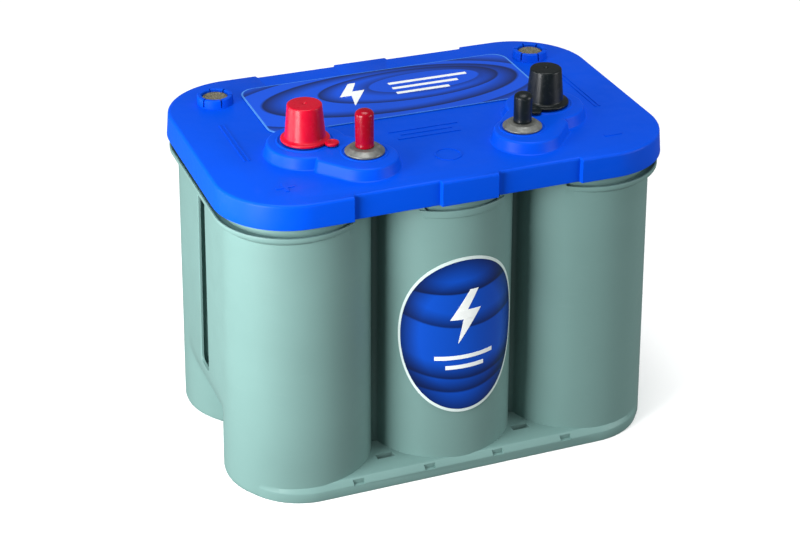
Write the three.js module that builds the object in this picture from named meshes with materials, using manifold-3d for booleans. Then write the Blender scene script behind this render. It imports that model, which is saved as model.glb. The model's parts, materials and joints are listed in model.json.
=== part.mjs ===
// Dual-terminal deep cycle battery with six spiral-wound cells.
// Millimetres, +Z up. Origin: centre of the underside.
// +X runs along the long side and -Y is the terminal side.
import * as THREE from 'three';
import { mergeVertices } from 'three/addons/utils/BufferGeometryUtils.js';
import Module from 'manifold-3d';

const wasm = await Module();
wasm.setup();

// ---------------------------------------------------------------- driving dimensions
const FIT_GAP = 0.3; // clearance between neighbouring pieces
const CELL_PITCH = 82.5;
const CELL_RADIUS_BASE = 41.6;
const CELL_RADIUS_TOP = 40.1;
const END_DRAFT = 1.6; // how far the end cells stand outward at the base
const END_LEAN = 2.6; // how far they lean back in from there to the gutter
const WEB_SET_BACK = 0.05; // keeps the end web's face just behind the cells' outermost lines
const BORE_RADIUS = 36.6;
const BORE_FLOOR = 4;
const CORE_HALF_WIDTH = 53.5; // depth of the web between neighbouring cells on the long sides
const NECK_HALF_WIDTH = 51.5; // the same depth inside the neck, where the lid's skirt needs room
const WEB_FOOT = 1.5; // the webs stay off the ground, so the battery stands on its cells and ledges

const LID_HALF_LENGTH = 127;
const LID_HALF_LENGTH_TOP = 125.7;
const LID_HALF_WIDTH = 85.5;
const LID_CORNER = 42;
const LID_RECESS = 2.5;
const LID_RECESS_START = 16;
const LID_RECESS_END = 63.6;
const LID_RIM_Z = 168;
const LID_CEILING_Z = 179;
const LID_TOP_Z = 182;
const LID_WALL = 2.9;

const WALL_TOP_Z = LID_RIM_Z - FIT_GAP;
const COLLAR_RADIUS = 38.4;
const COLLAR_TOP_Z = 170;
const GUTTER_Z = 160.5;
const LIP_BOTTOM_Z = 158.3;
const LIP_TOP_Z = 162.6;
const LIP_FLARE = { bottom: 155.7, full: 160, depth: 5.4 }; // its sloping underside at the ends
const LIP_RADIUS = 41.2; // round the middle cells
const LIP_INSET = 0.9; // how far the lip stays inside the lid's rim at the ends
const LIP_WIDTH = 1.1;

const LEDGE_Y = 85.2;
const LEDGE_WRAP = THREE.MathUtils.degToRad(62); // how far the ledge runs round the end cells' feet
const LEDGE_RUN_OUT = CELL_RADIUS_BASE - 1.2; // radius at which it disappears into the end cell
const LEDGE_FADE = 1.6; // how late along its wrap the ledge narrows
const LEDGE_HEIGHT = 9;
const LEDGE_BEVEL = 3;

const PAD_TOP_Z = 188.5;
const POST = { x: 69.5, y: -24, hole: 8.4, shank: 8 };
const STUD = { x: 45, y: -48.8, hole: 7.4, shank: 7, radius: 3.97, socket: 184, top: 205.8 };
const COLLAR = { foot: 10.7, seat: 8 }; // the lead collar round a stud
const SEAT_Z = 191.8; // top of the lead collar that a ring terminal is bolted down on
const POST_TOP_Z = 204;
const POST_TAPER = 1 / 18; // radius lost per millimetre of height
const COVER_PLATE_Z = COLLAR_TOP_Z + FIT_GAP;
const COVER_PLATE_TOP = COVER_PLATE_Z + 2.5;
const BUS_BOTTOM_Z = COVER_PLATE_TOP + 0.5;
const BUS_TOP_Z = 177.5;
const STRAP = { bottom: 138.3, bar: 140.5, top: 147.5, length: 24, width: 11, offset: 20 };
const LINK = { halfWidth: 5, bottom: 141, top: 147 };
const VENT = { x: 96.5, y: 55.5, ring: 9.9, disc: 7.1, top: 187 };
const CAP = { foot: PAD_TOP_Z + 0.8, top: 209.6, flange: 13.2, wall: 0.6, taper: 1.6 };
const TAB = { reach: 15.8, halfWidth: 1.8, lobe: 3.8, thickness: 1.4 };
const SLEEVE = { radius: 5, dome: 2.6 };
const LID_LABEL = { x: 1, y: 33.5, halfLength: 81.5, halfWidth: 32.5, corner: 9 };
const FRONT_LABEL = { middle: 86.5, halfHeight: 48, halfAngle: THREE.MathUtils.degToRad(52.8) };
const LABEL_THICKNESS = 0.4;

const ROUND = 40; // facets on a cell's wall
const SMALL_ROUND = 20;

// ---------------------------------------------------------------- materials
const finish = (color, roughness, metalness = 0) => (
  new THREE.MeshStandardMaterial({ color, roughness, metalness })
);
const casePlastic = finish(0x8fb5ae, 0.45);
const lidPlastic = finish(0x0a4fe0, 0.35);
const coverPlastic = finish(0x1b2f6b, 0.5);
const redVinyl = finish(0xe5142d, 0.35);
const blackVinyl = finish(0x15181a, 0.4);
const lead = finish(0x8d8f8a, 0.5, 0.8);
const steel = finish(0xb9bcbf, 0.25, 1);
const glassMat = finish(0xd9d5c8, 0.9);
const rubber = finish(0x1d1d1d, 0.8);
const porous = finish(0x5c5a50, 0.95);
const labelFilm = finish(0x0b3fae, 0.3);

// ---------------------------------------------------------------- solids and booleans
function solid(geometry) {
  const bare = geometry.clone();
  bare.deleteAttribute('normal');
  bare.deleteAttribute('uv');
  const merged = mergeVertices(bare, 1e-4);
  return new wasm.Manifold(new wasm.Mesh({
    numProp: 3,
    vertProperties: new Float32Array(merged.attributes.position.array),
    triVerts: new Uint32Array(merged.index.array),
  }));
}

function unite(...pieces) {
  return pieces.reduce((sum, piece) => sum.add(piece));
}

function toMesh(name, body, material) {
  const { vertProperties, triVerts } = body.getMesh();
  const geometry = new THREE.BufferGeometry();
  geometry.setAttribute('position', new THREE.BufferAttribute(vertProperties, 3));
  geometry.setIndex(new THREE.BufferAttribute(triVerts, 1));
  const mesh = new THREE.Mesh(geometry.toNonIndexed(), material);
  mesh.geometry.computeVertexNormals();
  mesh.name = name;
  return mesh;
}

// An upright cylinder or cone from z0 to z1, with radius r0 at the bottom and r1 at the top.
function cone(x, y, r0, r1, z0, z1, segments = SMALL_ROUND) {
  const geometry = new THREE.CylinderGeometry(r1, r0, z1 - z0, segments);
  geometry.rotateX(Math.PI / 2);
  geometry.translate(x, y, (z0 + z1) / 2);
  return solid(geometry);
}

const cylinder = (x, y, r, z0, z1, segments) => cone(x, y, r, r, z0, z1, segments);

function box(x0, x1, y0, y1, z0, z1) {
  const geometry = new THREE.BoxGeometry(x1 - x0, y1 - y0, z1 - z0);
  geometry.translate((x0 + x1) / 2, (y0 + y1) / 2, (z0 + z1) / 2);
  return solid(geometry);
}

// A prism with its outline in the XY plane.
function prism(points, z0, z1) {
  const extent = { depth: z1 - z0, bevelEnabled: false };
  const geometry = new THREE.ExtrudeGeometry(new THREE.Shape(points), extent);
  geometry.translate(0, 0, z0);
  return solid(geometry);
}

// A prism with its outline in the XZ plane, from y0 to y1.
function sidePrism(points, y0, y1) {
  const extent = { depth: y1 - y0, bevelEnabled: false };
  const geometry = new THREE.ExtrudeGeometry(new THREE.Shape(points), extent);
  geometry.rotateX(Math.PI / 2);
  geometry.translate(0, y1, 0);
  return solid(geometry);
}

// A solid of revolution about the vertical through (x, y); the profile is a closed list of [radius, z].
function turned(x, y, profile, segments = SMALL_ROUND) {
  const points = profile.map(([r, z]) => new THREE.Vector2(r, z));
  const geometry = new THREE.LatheGeometry(points, segments);
  geometry.rotateX(Math.PI / 2);
  geometry.translate(x, y, 0);
  return solid(geometry);
}

const corners = (...pairs) => pairs.map(([x, y]) => new THREE.Vector2(x, y));

function arc(cx, cy, radius, from, to, steps) {
  return Array.from({ length: steps + 1 }, (_, i) => {
    const angle = from + ((to - from) * i) / steps;
    return new THREE.Vector2(cx + radius * Math.cos(angle), cy + radius * Math.sin(angle));
  });
}

function roundedRectangle(halfLength, halfWidth, corner, steps = 8) {
  const points = [];
  const signs = [[1, 1], [-1, 1], [-1, -1], [1, -1]];
  signs.forEach(([sx, sy], quarter) => {
    const start = (quarter * Math.PI) / 2;
    const [cx, cy] = [sx * (halfLength - corner), sy * (halfWidth - corner)];
    points.push(...arc(cx, cy, corner, start, start + Math.PI / 2, steps));
  });
  return points;
}

// Joins outlines with the same number of points, each at its own height, into one closed body.
function loft(levels) {
  const count = levels[0].points.length;
  const positions = [];
  const index = [];
  for (const { points, z } of levels) points.forEach((p) => positions.push(p.x, p.y, z));
  for (let level = 0; level < levels.length - 1; level++) {
    for (let i = 0; i < count; i++) {
      const a = level * count + i;
      const b = level * count + ((i + 1) % count);
      index.push(a, b, b + count, a, b + count, a + count);
    }
  }
  const top = (levels.length - 1) * count;
  for (const [a, b, c] of THREE.ShapeUtils.triangulateShape(levels[0].points, [])) index.push(a, c, b);
  for (const [a, b, c] of THREE.ShapeUtils.triangulateShape(levels.at(-1).points, [])) {
    index.push(top + a, top + b, top + c);
  }
  const geometry = new THREE.BufferGeometry();
  geometry.setAttribute('position', new THREE.Float32BufferAttribute(positions, 3));
  geometry.setIndex(index);
  return solid(geometry);
}

const mirrorX = (body) => body.mirror([1, 0, 0]);
const mirrorY = (body) => body.mirror([0, 1, 0]);
const bothEnds = (body) => body.add(mirrorX(body));
const bothSides = (body) => body.add(mirrorY(body));

// ---------------------------------------------------------------- case
const ROW_Y = CELL_PITCH / 2;
const COLUMNS = [-CELL_PITCH, 0, CELL_PITCH];
const cellRadius = (z) => CELL_RADIUS_BASE + ((CELL_RADIUS_TOP - CELL_RADIUS_BASE) * z) / GUTTER_Z;
const cellShift = (column, z) => Math.sign(column) * (END_DRAFT - (END_LEAN * z) / GUTTER_Z);
const webFace = (z) => CELL_PITCH + cellShift(1, z) + cellRadius(z) - WEB_SET_BACK;

// One cell's outer wall, grown by `extra`; the end cells lean outward a little at the base.
function cellWall(column, row, extra, z0, z1) {
  const levels = [z0, z1].map((z) => {
    const ring = arc(column + cellShift(column, z), row, cellRadius(z) + extra, 0, 2 * Math.PI, ROUND);
    return { points: ring.slice(0, -1), z };
  });
  return loft(levels);
}

// The web that closes the case between its two end cells; it fades out above the base.
function endWeb() {
  const outline = corners(
    [CELL_PITCH, 12], [CELL_PITCH + 25, 12], [webFace(30) - 4, 30], [webFace(44), 44],
    [webFace(WALL_TOP_Z), WALL_TOP_Z], [CELL_PITCH, WALL_TOP_Z],
  );
  return sidePrism(outline, -ROW_Y, ROW_Y);
}

// The upright slot in an end web: a mouth through its thin wall, and a wider space behind that.
function endSlot() {
  const slot = { half: 7.2, bottom: 47, top: 153.5, wall: 1.6, spaceHalf: 10.5, depth: 13, sill: 4 };
  const back = webFace(slot.top) - slot.depth;
  const beyond = LID_HALF_LENGTH + 3;
  const foot = slot.bottom + slot.sill;
  const mouth = corners([back, foot], [beyond, slot.bottom], [beyond, slot.top], [back, slot.top]);
  const inside = (z) => [webFace(z) - slot.wall, z];
  const space = corners([back, foot], inside(foot), inside(slot.top), [back, slot.top]);
  return unite(
    sidePrism(mouth, -slot.half, slot.half),
    sidePrism(space, -slot.spaceHalf, slot.spaceHalf),
  );
}

// The ledge's outline: straight along the cells, then round each end cell's foot until it runs out.
function ledgePlan(inset) {
  const steps = 9;
  const reach = LEDGE_Y - ROW_Y - inset;
  const rightEnd = Array.from({ length: steps + 1 }, (_, i) => {
    const share = i / steps;
    const radius = reach + (LEDGE_RUN_OUT - reach) * share ** LEDGE_FADE;
    const angle = share * LEDGE_WRAP;
    const x = CELL_PITCH + END_DRAFT + radius * Math.sin(angle);
    return new THREE.Vector2(x, -ROW_Y - radius * Math.cos(angle));
  });
  const right = [...rightEnd, new THREE.Vector2(CELL_PITCH, -NECK_HALF_WIDTH)];
  const left = right.map((p) => new THREE.Vector2(-p.x, p.y)).reverse();
  return [...left, ...right];
}

// The hold-down ledge along the foot of the terminal side, with its notches and its two drain holes.
function ledge() {
  const edge = -LEDGE_Y;
  const notch = { halfWidth: 3.2, depth: 2.2, bottom: 5.5, xs: [-62.5, -20.5, 20.5, 62.5] };
  const drain = { halfLength: 5, outer: -69.8, inner: -65.4 };
  let body = loft([
    { points: ledgePlan(0), z: 0 },
    { points: ledgePlan(0), z: LEDGE_HEIGHT - LEDGE_BEVEL },
    { points: ledgePlan(LEDGE_BEVEL), z: LEDGE_HEIGHT },
  ]);
  for (const x of notch.xs) {
    const [x0, x1] = [x - notch.halfWidth, x + notch.halfWidth];
    body = body.subtract(box(x0, x1, edge - 1, edge + notch.depth, notch.bottom, LEDGE_HEIGHT + 1));
  }
  for (const x of [-CELL_PITCH / 2, CELL_PITCH / 2]) {
    const [x0, x1] = [x - drain.halfLength, x + drain.halfLength];
    body = body.subtract(box(x0, x1, drain.outer, drain.inner, -1, LEDGE_HEIGHT + 1));
  }
  return body;
}

// Everything inside the neck that the lid's skirt fits over.
function collar(z0, z1) {
  const ends = CELL_PITCH + COLLAR_RADIUS;
  let body = box(-CELL_PITCH, CELL_PITCH, -NECK_HALF_WIDTH, NECK_HALF_WIDTH, z0, z1);
  body = body.add(box(-ends, ends, -ROW_Y, ROW_Y, z0, z1));
  for (const column of COLUMNS) {
    for (const row of [-ROW_Y, ROW_Y]) body = body.add(cylinder(column, row, COLLAR_RADIUS, z0, z1, ROUND));
  }
  return body;
}

// The lip's outline at the +X end: parallel to the lid's rim, `inset` inside the lip's own edge.
function lipEnd(inset) {
  const [x, y] = [LID_HALF_LENGTH - LID_CORNER, LID_HALF_WIDTH - LID_CORNER];
  const radius = LID_CORNER - LIP_INSET - inset;
  const steps = ROUND / 2;
  return [...arc(x, -y, radius, -Math.PI, 0, steps), ...arc(x, y, radius, 0, Math.PI, steps)];
}

// The lip, or the gutter inside it when `inset` is the lip's width; it also follows the middle cells.
function lipBody(inset, middleBottom, endLevels) {
  const ends = bothEnds(loft(endLevels.map(([depth, z]) => ({ points: lipEnd(inset + depth), z }))));
  const top = endLevels.at(-1)[1];
  const middle = cylinder(0, -ROW_Y, LIP_RADIUS - inset, middleBottom, top, ROUND);
  return ends.add(bothSides(middle));
}

// The parts of the case top that are cut down below the lid: the middle of each long side and both ends.
function pocketZones(widen, z0) {
  const top = WALL_TOP_Z + 3;
  const middle = corners([-18.5 - widen, z0], [18.5 + widen, z0], [28 + widen, top], [-28 - widen, top]);
  const end = corners([61 - widen, z0], [140, z0], [140, top], [57 - widen, top]);
  return unite(sidePrism(middle, -100, 100), bothEnds(sidePrism(end, -100, 100)));
}

function buildCase() {
  let body = box(-CELL_PITCH, CELL_PITCH, -CORE_HALF_WIDTH, CORE_HALF_WIDTH, WEB_FOOT, WALL_TOP_Z);
  for (const column of COLUMNS) {
    for (const row of [-ROW_Y, ROW_Y]) body = body.add(cellWall(column, row, 0, 0, WALL_TOP_Z));
  }
  body = body.add(bothEnds(endWeb())).subtract(bothEnds(endSlot()));
  body = body.add(bothSides(ledge()));
  body = body.subtract(pocketZones(0, GUTTER_Z));
  const { bottom, full, depth } = LIP_FLARE;
  const lip = lipBody(0, LIP_BOTTOM_Z, [[depth, bottom], [0, full], [0, LIP_TOP_Z]]);
  const gutter = lipBody(LIP_WIDTH, GUTTER_Z, [[0, GUTTER_Z], [0, LIP_TOP_Z + 1]]);
  body = body.add(lip.intersect(pocketZones(1, bottom - 1)));
  body = body.subtract(gutter.intersect(pocketZones(0, GUTTER_Z)));
  body = body.add(collar(LIP_BOTTOM_Z - 4, COLLAR_TOP_Z));
  for (const column of COLUMNS) {
    for (const row of [-ROW_Y, ROW_Y]) {
      body = body.subtract(cylinder(column, row, BORE_RADIUS, BORE_FLOOR, COLLAR_TOP_Z + 1, ROUND));
    }
  }
  for (const link of intercellLinks(FIT_GAP)) body = body.subtract(link);
  return body;
}

// ---------------------------------------------------------------- cells and their connections
// The cells in series order, with the side on which each strap stands.
const SERIES = [
  { x: -CELL_PITCH, y: -ROW_Y, positive: [1, 0], negative: [0, 1] },
  { x: -CELL_PITCH, y: ROW_Y, positive: [0, -1], negative: [1, 0] },
  { x: 0, y: ROW_Y, positive: [-1, 0], negative: [1, 0] },
  { x: CELL_PITCH, y: ROW_Y, positive: [-1, 0], negative: [0, -1] },
  { x: CELL_PITCH, y: -ROW_Y, positive: [0, 1], negative: [-1, 0] },
  { x: 0, y: -ROW_Y, positive: [1, 0], negative: [0, 1] },
];

function cellRoll({ x, y }) {
  const bottom = BORE_FLOOR + FIT_GAP;
  const top = STRAP.bottom - FIT_GAP;
  const outer = BORE_RADIUS - 0.6;
  const profile = [[4, bottom], [outer, bottom], [outer, top - 4], [outer - 2, top], [4, top], [4, bottom]];
  return turned(x, y, profile, 24);
}

// A cast-on strap: a bar across the plates, with three lugs down to them.
function strap({ x, y }, [dx, dy]) {
  const cx = x + dx * STRAP.offset;
  const cy = y + dy * STRAP.offset;
  const halfX = (dx ? STRAP.width : STRAP.length) / 2;
  const halfY = (dx ? STRAP.length : STRAP.width) / 2;
  let body = box(cx - halfX, cx + halfX, cy - halfY, cy + halfY, STRAP.bar, STRAP.top);
  for (const step of [-8, 0, 8]) {
    const lx = cx + Math.abs(dy) * step;
    const ly = cy + Math.abs(dx) * step;
    const wide = 3.5;
    const thin = 1.5;
    const sx = dx ? wide : thin;
    const sy = dx ? thin : wide;
    body = body.add(box(lx - sx, lx + sx, ly - sy, ly + sy, STRAP.bottom, STRAP.bar + 1));
  }
  return body;
}

// The bars that join one cell's negative strap to the next cell's positive strap, through the partition.
function intercellLinks(extra = 0) {
  const start = STRAP.offset + STRAP.width / 2 + FIT_GAP - extra;
  const halfWidth = LINK.halfWidth + extra;
  return SERIES.slice(0, -1).map(({ x, y, negative: [dx, dy] }) => {
    const end = CELL_PITCH - start;
    const xs = [x + dx * start, x + dx * end].sort((a, b) => a - b);
    const ys = [y + dy * start, y + dy * end].sort((a, b) => a - b);
    const growX = Math.abs(dy) * halfWidth;
    const growY = Math.abs(dx) * halfWidth;
    const [z0, z1] = [LINK.bottom - extra, LINK.top + extra];
    return box(xs[0] - growX, xs[1] + growX, ys[0] - growY, ys[1] + growY, z0, z1);
  });
}

// A flat lead bar with round ends between two points.
function bar([x0, y0], [x1, y1], radius, z0, z1) {
  const angle = Math.atan2(y1 - y0, x1 - x0);
  const points = [
    ...arc(x1, y1, radius, angle - Math.PI / 2, angle + Math.PI / 2, 8),
    ...arc(x0, y0, radius, angle + Math.PI / 2, angle + (3 * Math.PI) / 2, 8),
  ];
  return prism(points, z0, z1);
}

// A lead riser: a column up from the last strap and the bus bar that joins it to the post and the stud.
function riser(side, [cx, cy]) {
  const post = [side * POST.x, POST.y];
  const stud = [side * STUD.x, STUD.y];
  return unite(
    cylinder(cx, cy, 5.2, STRAP.top + FIT_GAP, BUS_TOP_Z, 20),
    bar([cx, cy], post, 6.5, BUS_BOTTOM_Z, BUS_TOP_Z),
    bar(post, stud, 8, BUS_BOTTOM_Z, BUS_TOP_Z),
  );
}

const RISERS = {
  positive: [-CELL_PITCH + STRAP.offset, -ROW_Y],
  negative: [0, -ROW_Y + STRAP.offset],
};

// ---------------------------------------------------------------- vent plate and relief valves
const VALVES = [
  [-98, -58], [-CELL_PITCH, ROW_Y + 12], [0, ROW_Y + 12], [CELL_PITCH, ROW_Y + 12], [98, -58], [-6, -62],
];

// The plate that closes the cells under the lid, with a nipple over each cell.
function ventPlate() {
  let body = prism(roundedRectangle(122.6, 79.4, 38, 6), COVER_PLATE_Z, COVER_PLATE_TOP);
  for (const [x, y] of Object.values(RISERS)) {
    body = body.subtract(cylinder(x, y, 5.6, COVER_PLATE_Z - 1, COVER_PLATE_TOP + 1, 20));
  }
  for (const [x, y] of VALVES) {
    body = body.add(cylinder(x, y, 2.4, COVER_PLATE_TOP - 1, COVER_PLATE_TOP + 3.4, 10));
    body = body.subtract(cylinder(x, y, 1, COVER_PLATE_Z - 1, COVER_PLATE_TOP + 5, 6));
  }
  return body;
}

function reliefValve([x, y]) {
  const foot = COVER_PLATE_TOP + FIT_GAP;
  const [inner, outer, ceiling, top] = [2.8, 5, foot + 3.8, foot + 5.2];
  const profile = [
    [inner, foot], [outer, foot], [outer, top - 0.8], [outer - 1, top],
    [0, top], [0, ceiling], [inner, ceiling], [inner, foot],
  ];
  return turned(x, y, profile, 14);
}

// ---------------------------------------------------------------- lid
// The lid's outline: a rounded rectangle whose long edges step in on both sides of the middle.
function lidPlan(halfLength, halfWidth, corner) {
  const points = [];
  const stepIn = (sign) => {
    const stops = [LID_RECESS_END, LID_RECESS_START, -LID_RECESS_START, -LID_RECESS_END];
    stops.forEach((stop, i) => {
      const [before, after] = i % 2 ? [LID_RECESS, 0] : [0, LID_RECESS];
      const x = sign * stop;
      const stepWidth = 0.6;
      points.push(new THREE.Vector2(x, sign * (halfWidth - before)));
      points.push(new THREE.Vector2(x - sign * stepWidth, sign * (halfWidth - after)));
    });
  };
  const cornerArc = (sx, sy, start) => arc(
    sx * (halfLength - corner), sy * (halfWidth - corner), corner, start, start + Math.PI / 2, 10,
  );
  points.push(...cornerArc(1, 1, 0));
  stepIn(1);
  points.push(...cornerArc(-1, 1, Math.PI / 2), ...cornerArc(-1, -1, Math.PI));
  stepIn(-1);
  points.push(...cornerArc(1, -1, (3 * Math.PI) / 2));
  return points;
}

// The raised pad round one pair of terminals; `side` is -1 for the positive pair and 1 for the negative.
function terminalPad(side) {
  const base = LID_TOP_Z - 1;
  const lobe = (x, y, radius) => cone(side * x, y, radius + 1.3, radius, base, PAD_TOP_Z, 24);
  const facet = corners([71, -50.5], [71, -40], [56, -16], [46, -26], [34, -40], [46.5, -52], [60.4, -63.4]);
  const block = prism(facet, base, PAD_TOP_Z);
  const lobes = unite(lobe(POST.x - 0.5, POST.y - 1, 21.5), lobe(STUD.x + 1.5, STUD.y - 3.2, 18));
  return lobes.add(side > 0 ? block : mirrorX(block));
}

// The castellated ring round a vent disc.
function ventRing() {
  const { x, y, ring, disc, top } = VENT;
  const wall = disc + FIT_GAP;
  const foot = LID_TOP_Z - 1;
  let body = turned(x, y, [[wall, foot], [ring + 0.4, foot], [ring, top], [wall, top], [wall, foot]], 24);
  for (let i = 0; i < 3; i++) {
    const slit = new THREE.BoxGeometry(30, 1, top - LID_TOP_Z - 0.6);
    slit.rotateZ(((i + 0.6) * Math.PI) / 3);
    slit.translate(x, y, (top + LID_TOP_Z + 0.6) / 2 + 0.2);
    body = body.subtract(solid(slit));
  }
  return body;
}

// Moulded marks on the lid: two guide ribs near each end and a polarity sign by each pair of terminals.
function lidMarks() {
  const top = LID_TOP_Z + 0.6;
  const rib = (x0, x1, y0, y1) => box(x0, x1, y0, y1, LID_TOP_Z - 1, top);
  const ribs = bothEnds(unite(rib(100.4, 101.2, -25, 24), rib(102.8, 103.6, -25, 24)));
  const plus = unite(rib(-98, -88, -63.2, -60.8), rib(-94.2, -91.8, -67, -57));
  const minus = rib(88, 98, -63.2, -60.8);
  return unite(ribs, plus, minus);
}

function buildLid() {
  let body = loft([
    { points: lidPlan(LID_HALF_LENGTH, LID_HALF_WIDTH, LID_CORNER), z: LID_RIM_Z },
    { points: lidPlan(LID_HALF_LENGTH_TOP, LID_HALF_WIDTH - 0.2, LID_CORNER), z: LID_TOP_Z - 1.2 },
    { points: lidPlan(LID_HALF_LENGTH_TOP - 1.1, LID_HALF_WIDTH - 1.3, LID_CORNER - 1.1), z: LID_TOP_Z },
  ]);
  const insideWidth = LID_HALF_WIDTH - LID_RECESS - LID_WALL;
  const inside = roundedRectangle(LID_HALF_LENGTH - LID_WALL, insideWidth, LID_CORNER - 4);
  body = body.subtract(prism(inside, LID_RIM_Z - 1, LID_CEILING_Z));
  body = unite(body, terminalPad(-1), terminalPad(1), bothEnds(ventRing()), lidMarks());
  for (const side of [-1, 1]) {
    body = body.subtract(cylinder(side * POST.x, POST.y, POST.hole, LID_CEILING_Z - 1, PAD_TOP_Z + 1));
    body = body.subtract(cylinder(side * STUD.x, STUD.y, STUD.hole, LID_CEILING_Z - 1, PAD_TOP_Z + 1));
    body = body.subtract(cylinder(side * VENT.x, VENT.y, 3, LID_CEILING_Z - 1, LID_TOP_Z + 1, 16));
  }
  return body;
}

// ---------------------------------------------------------------- terminals, seals, caps
const TERMINALS = [
  {
    name: 'positive', side: -1, postRadius: 8.75,
    cap: 'red', vinyl: redVinyl, capTip: 9.3, coverLength: 20.8,
  },
  {
    name: 'negative', side: 1, postRadius: 7.95,
    cap: 'black', vinyl: blackVinyl, capTip: 8.6, coverLength: 16.8,
  },
];

function post({ side, postRadius }) {
  const seat = PAD_TOP_Z + FIT_GAP;
  const foot = postRadius + (POST_TOP_Z - seat) * POST_TAPER;
  const profile = [
    [0, BUS_TOP_Z + FIT_GAP], [POST.shank, BUS_TOP_Z + FIT_GAP], [POST.shank, seat], [foot, seat],
    [postRadius, POST_TOP_Z - 0.6], [postRadius - 0.6, POST_TOP_Z], [0, POST_TOP_Z],
  ];
  return turned(side * POST.x, POST.y, profile);
}

function studBase({ side }) {
  const seat = PAD_TOP_Z + FIT_GAP;
  const bore = STUD.radius + FIT_GAP;
  const { foot, seat: seatRadius } = COLLAR;
  const profile = [
    [0, BUS_TOP_Z + FIT_GAP], [STUD.shank, BUS_TOP_Z + FIT_GAP], [STUD.shank, seat], [foot, seat],
    [foot, seat + 0.8], [seatRadius, SEAT_Z], [bore, SEAT_Z], [bore, STUD.socket], [0, STUD.socket],
  ];
  return turned(side * STUD.x, STUD.y, profile);
}

function stud({ side }) {
  const bottom = STUD.socket + FIT_GAP;
  const profile = [
    [0, bottom], [STUD.radius, bottom], [STUD.radius, STUD.top - 1],
    [STUD.radius - 1, STUD.top], [0, STUD.top],
  ];
  return turned(side * STUD.x, STUD.y, profile, 20);
}

// The flat ring that seals a terminal's shank under the lid.
function seal(x, y, shank) {
  const [inner, outer] = [shank + 0.4, shank + 2.6];
  const bottom = BUS_TOP_Z + FIT_GAP;
  const top = LID_CEILING_Z - FIT_GAP;
  return turned(x, y, [[inner, bottom], [outer, bottom], [outer, top], [inner, top], [inner, bottom]], 16);
}

// A soft tapered cap over a post, with a flange and a pull tab that points to the stud.
function postCap({ side, capTip: tip }) {
  const x = side * POST.x;
  const y = POST.y;
  const { foot, top, flange, wall, taper } = CAP;
  const base = tip + taper;
  const [bore, boreTip] = [base - wall, tip - wall];
  const shell = turned(x, y, [
    [bore, foot], [flange, foot], [flange, foot + 1.4], [flange - 0.6, foot + 1.9], [base, foot + 2.1],
    [tip, top - 1], [tip - 0.8, top], [1.6, top], [1.1, top - 0.6], [0, top - 0.6],
    [0, top - 2], [boreTip, top - 2], [bore, foot],
  ]);
  const angle = Math.atan2(STUD.y - POST.y, side * (STUD.x - POST.x));
  const [tx, ty] = [x + TAB.reach * Math.cos(angle), y + TAB.reach * Math.sin(angle)];
  const strip = bar([x, y], [tx, ty], TAB.halfWidth, foot, foot + TAB.thickness);
  const tab = strip.add(cylinder(tx, ty, TAB.lobe, foot, foot + TAB.thickness + 0.2));
  const inside = cylinder(x, y, base + 0.2, foot - 1, foot + 3);
  return shell.add(tab.subtract(inside));
}

// A thin sleeve with a round end over a stud.
function studCover({ side, coverLength }) {
  const foot = SEAT_Z + FIT_GAP;
  const top = foot + coverLength;
  const { radius, dome } = SLEEVE;
  const inner = STUD.radius + FIT_GAP;
  const rounding = [0, Math.PI / 6, Math.PI / 3].map((angle) => (
    [radius * Math.cos(angle), top - dome + dome * Math.sin(angle)]
  ));
  return turned(side * STUD.x, STUD.y, [
    [inner, foot], [radius, foot], ...rounding, [0, top],
    [0, top - 0.9], [inner, top - dome - 0.2], [inner, foot],
  ], 16);
}

// ---------------------------------------------------------------- labels and vent discs
function lidLabel() {
  const { x, y, halfLength, halfWidth, corner } = LID_LABEL;
  const outline = roundedRectangle(halfLength, halfWidth, corner, 6);
  const points = outline.map((p) => new THREE.Vector2(p.x + x, p.y + y));
  const foot = LID_TOP_Z + FIT_GAP;
  return prism(points, foot, foot + LABEL_THICKNESS);
}

// The oval label that wraps round the middle cell of the terminal side.
function frontLabel() {
  const { middle, halfHeight, halfAngle } = FRONT_LABEL;
  const oval = arc(0, 0, 1, 0, 2 * Math.PI, 32).slice(0, -1).map((p) => (
    new THREE.Vector2(cellRadius(middle) * Math.sin(halfAngle * p.x), middle + halfHeight * p.y)
  ));
  const outside = cellWall(0, -ROW_Y, FIT_GAP + LABEL_THICKNESS, 30, 140);
  const skin = outside.subtract(cellWall(0, -ROW_Y, FIT_GAP, 29, 141));
  return skin.intersect(sidePrism(oval, -LEDGE_Y, -ROW_Y - 10));
}

function ventDisc(side) {
  const foot = LID_TOP_Z + FIT_GAP;
  const top = foot + 3.4;
  const profile = [[0, foot], [VENT.disc, foot], [VENT.disc, top - 0.4], [VENT.disc - 0.9, top], [0, top]];
  return turned(side * VENT.x, VENT.y, profile);
}

// ---------------------------------------------------------------- assembly
const battery = new THREE.Group();
const place = (name, body, material) => battery.add(toMesh(name, body, material));

place('case', buildCase(), casePlastic);
place('lid', buildLid(), lidPlastic);
place('vent_plate', ventPlate(), coverPlastic);

SERIES.forEach((cell, i) => {
  place(`cell_roll_${i + 1}`, cellRoll(cell), glassMat);
  place(`positive_strap_${i + 1}`, strap(cell, cell.positive), lead);
  place(`negative_strap_${i + 1}`, strap(cell, cell.negative), lead);
  place(`relief_valve_${i + 1}`, reliefValve(VALVES[i]), rubber);
});
intercellLinks().forEach((link, i) => place(`intercell_link_${i + 1}`, link, lead));

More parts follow.
